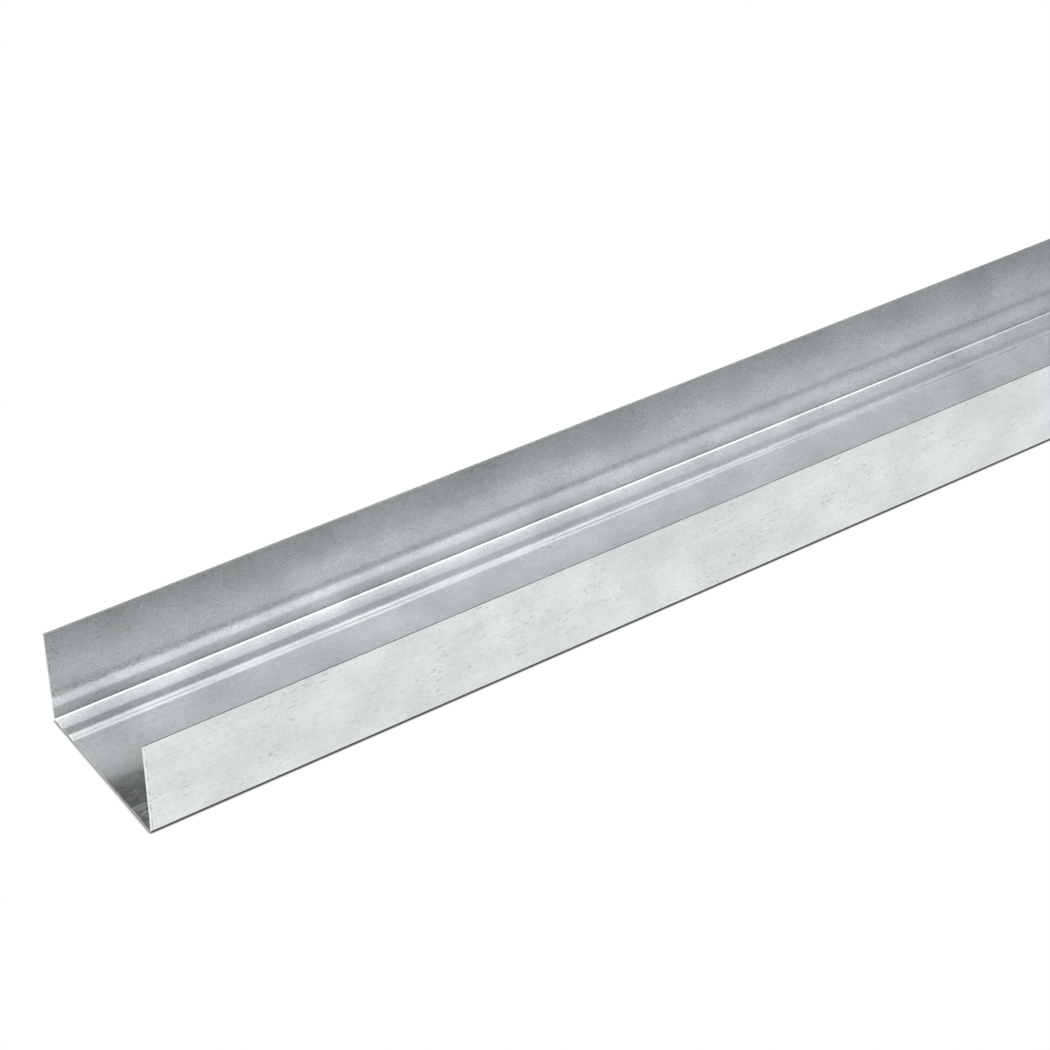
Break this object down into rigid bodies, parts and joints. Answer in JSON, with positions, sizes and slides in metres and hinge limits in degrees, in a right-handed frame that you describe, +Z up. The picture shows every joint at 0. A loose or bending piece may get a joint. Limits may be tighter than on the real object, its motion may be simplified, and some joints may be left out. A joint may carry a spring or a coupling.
{
  "type": "u-shaped steel track profile",
  "caption": "Straight U-shaped track of thin galvanised steel sheet: a flat web with two plain flanges and a shallow lengthwise rib beside each flange.",
  "frame": {"origin": "middle of the length and of the width, on the underside of the web, which lies on the floor", "axes": "+X along the profile, +Y across the web, +Z up the flanges, towards the open side"},
  "size_m": [2.6, 0.075, 0.04],
  "materials": {
    "galvanised_sheet": "hot-dip zinc coating, pale grey, satin, with a fine mottle on the outside and a glossier inside"
  },
  "bodies": {
    "root": {"track_profile": "galvanised_sheet"}
  },
  "joints": []
}
